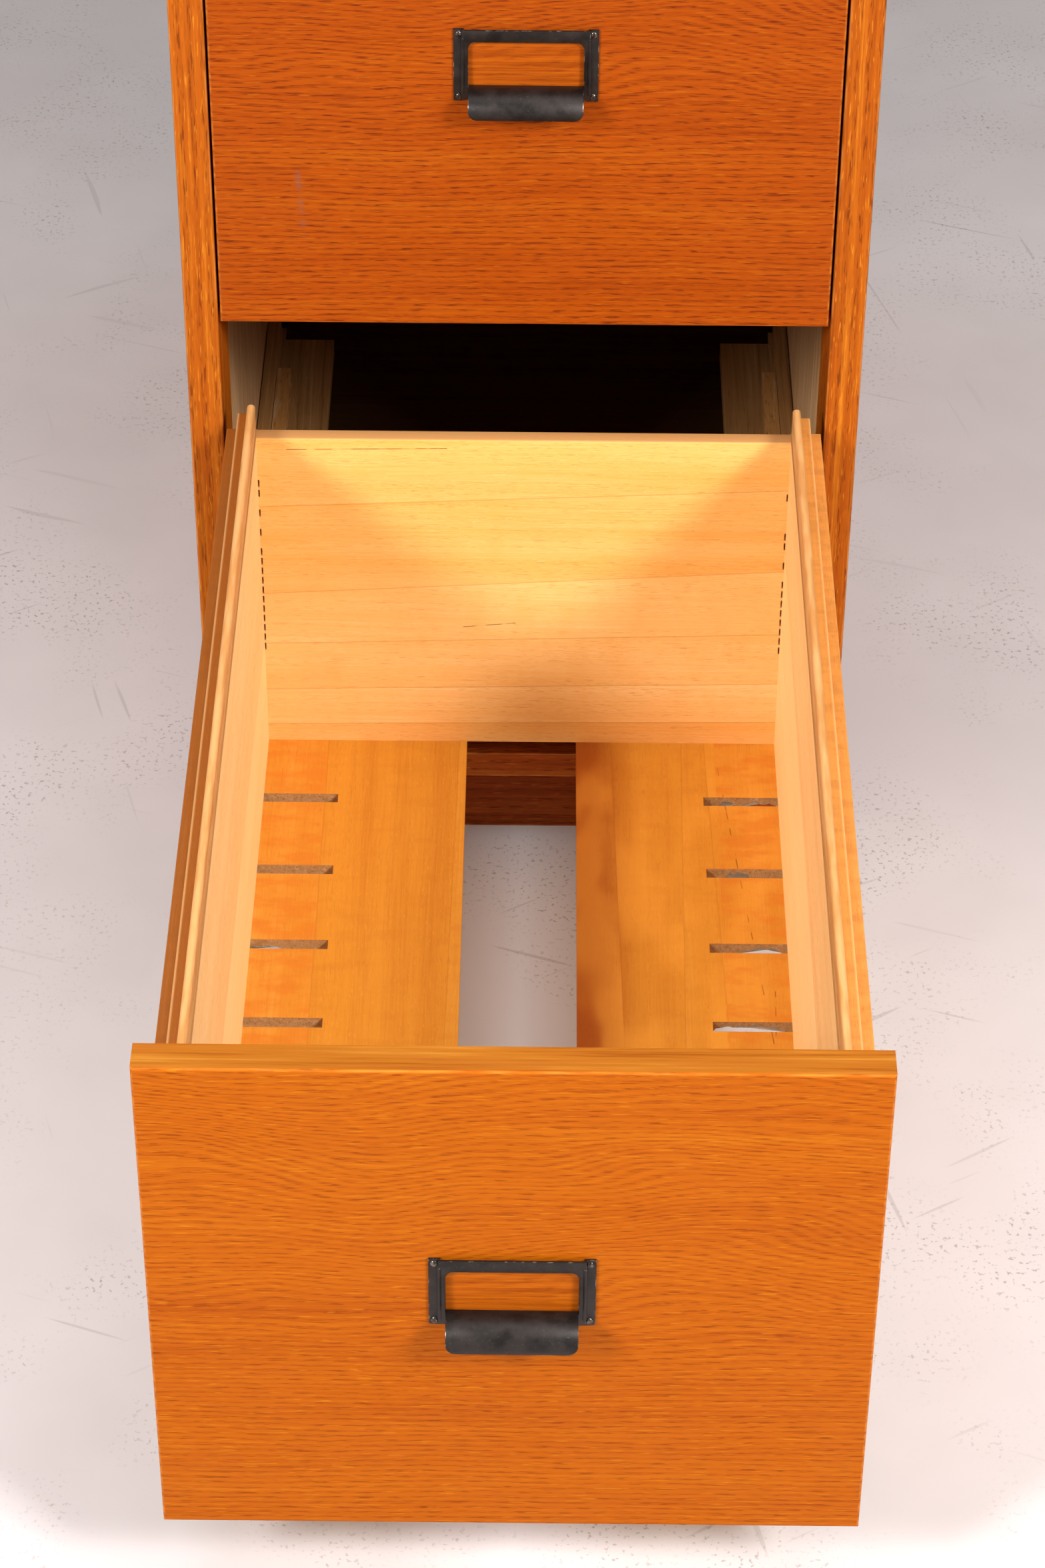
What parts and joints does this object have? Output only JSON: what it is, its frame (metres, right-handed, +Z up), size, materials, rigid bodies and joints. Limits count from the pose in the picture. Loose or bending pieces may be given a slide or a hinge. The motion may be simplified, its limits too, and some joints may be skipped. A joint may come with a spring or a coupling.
{
  "type": "vertical filing cabinet",
  "caption": "Tall narrow oak cabinet with inset filing drawers on wooden telescopic slides, each with a label frame and finger pull.",
  "frame": {"origin": "on the floor, in the plane of the closed drawer fronts, midway between the two sides", "axes": "+X to the right as seen from the front, +Y from the front towards the back, +Z up"},
  "size_m": [0.404, 1.329, 1.347],
  "materials": {
    "oak_front": "oiled oak veneer, satin",
    "oak_frame": "stained and lacquered solid oak, satin",
    "oak_panel": "stained outside, pale and unfinished inside",
    "raw_oak": "unfinished, darkened with age",
    "drawer_box": "clear lacquered beech, satin",
    "beech_runner": "worn beech, satin",
    "drawer_floor": "lacquered beech boards, satin",
    "waxed_lath": "worn and waxed beech",
    "oxidised_steel": "dark oxidised pressed steel, worn bright at its edges"
  },
  "bodies": {
    "cabinet": {"back_panel": "oak_panel", "back_rails": "oak_frame", "bottom_front_rail": "oak_frame", "bottom_panel": "oak_panel", "drawer_stops": "raw_oak", "left_bearers": "raw_oak", "left_front_post": "oak_frame", "left_guides": "raw_oak", "left_rear_post": "oak_frame", "left_side_panel": "oak_panel", "left_side_rails": "oak_frame", "plinth_board": "oak_frame", "right_bearers": "raw_oak", "right_front_post": "oak_frame", "right_guides": "raw_oak", "right_rear_post": "oak_frame", "right_side_panel": "oak_panel", "right_side_rails": "oak_frame", "top_board": "oak_frame"},
    "drawer_1": {"drawer_1_back": "drawer_box", "drawer_1_floor_boards": "drawer_floor", "drawer_1_front": "oak_front", "drawer_1_left_cheek": "beech_runner", "drawer_1_left_side": "drawer_box", "drawer_1_pull": "oxidised_steel", "drawer_1_pull_pins": "oxidised_steel", "drawer_1_right_cheek": "beech_runner", "drawer_1_right_side": "drawer_box"},
    "drawer_1_slides": {"drawer_1_slide_laths": "waxed_lath"},
    "drawer_2": {"drawer_2_back": "drawer_box", "drawer_2_floor_boards": "drawer_floor", "drawer_2_front": "oak_front", "drawer_2_left_cheek": "beech_runner", "drawer_2_left_side": "drawer_box", "drawer_2_pull": "oxidised_steel", "drawer_2_pull_pins": "oxidised_steel", "drawer_2_right_cheek": "beech_runner", "drawer_2_right_side": "drawer_box"},
    "drawer_2_slides": {"drawer_2_slide_laths": "waxed_lath"},
    "drawer_3": {"drawer_3_back": "drawer_box", "drawer_3_floor_boards": "drawer_floor", "drawer_3_front": "oak_front", "drawer_3_left_cheek": "beech_runner", "drawer_3_left_side": "drawer_box", "drawer_3_pull": "oxidised_steel", "drawer_3_pull_pins": "oxidised_steel", "drawer_3_right_cheek": "beech_runner", "drawer_3_right_side": "drawer_box"},
    "drawer_3_slides": {"drawer_3_slide_laths": "waxed_lath"},
    "drawer_4": {"drawer_4_back": "drawer_box", "drawer_4_floor_boards": "drawer_floor", "drawer_4_front": "oak_front", "drawer_4_left_cheek": "beech_runner", "drawer_4_left_side": "drawer_box", "drawer_4_pull": "oxidised_steel", "drawer_4_pull_pins": "oxidised_steel", "drawer_4_right_cheek": "beech_runner", "drawer_4_right_side": "drawer_box"},
    "drawer_4_slides": {"drawer_4_slide_laths": "waxed_lath"}
  },
  "joints": [
    {"name": "drawer_1_travel", "type": "slide", "parent": "cabinet", "child": "drawer_1", "axis": [0, -1, 0], "range_m": [-0.63, 0]},
    {"name": "drawer_1_lath_travel", "type": "slide", "parent": "cabinet", "child": "drawer_1_slides", "axis": [0, -1, 0], "range_m": [-0.23625, 0]},
    {"name": "drawer_2_travel", "type": "slide", "parent": "cabinet", "child": "drawer_2", "axis": [0, -1, 0], "range_m": [0, 0.63]},
    {"name": "drawer_2_lath_travel", "type": "slide", "parent": "cabinet", "child": "drawer_2_slides", "axis": [0, -1, 0], "range_m": [0, 0.23625]},
    {"name": "drawer_3_travel", "type": "slide", "parent": "cabinet", "child": "drawer_3", "axis": [0, -1, 0], "range_m": [0, 0.63]},
    {"name": "drawer_3_lath_travel", "type": "slide", "parent": "cabinet", "child": "drawer_3_slides", "axis": [0, -1, 0], "range_m": [0, 0.23625]},
    {"name": "drawer_4_travel", "type": "slide", "parent": "cabinet", "child": "drawer_4", "axis": [0, -1, 0], "range_m": [0, 0.63]},
    {"name": "drawer_4_lath_travel", "type": "slide", "parent": "cabinet", "child": "drawer_4_slides", "axis": [0, -1, 0], "range_m": [0, 0.23625]}
  ],
  "couplings": [
    {"joint": "drawer_1_lath_travel", "follows": "drawer_1_travel", "ratio": 0.375},
    {"joint": "drawer_2_lath_travel", "follows": "drawer_2_travel", "ratio": 0.375},
    {"joint": "drawer_3_lath_travel", "follows": "drawer_3_travel", "ratio": 0.375},
    {"joint": "drawer_4_lath_travel", "follows": "drawer_4_travel", "ratio": 0.375}
  ]
}
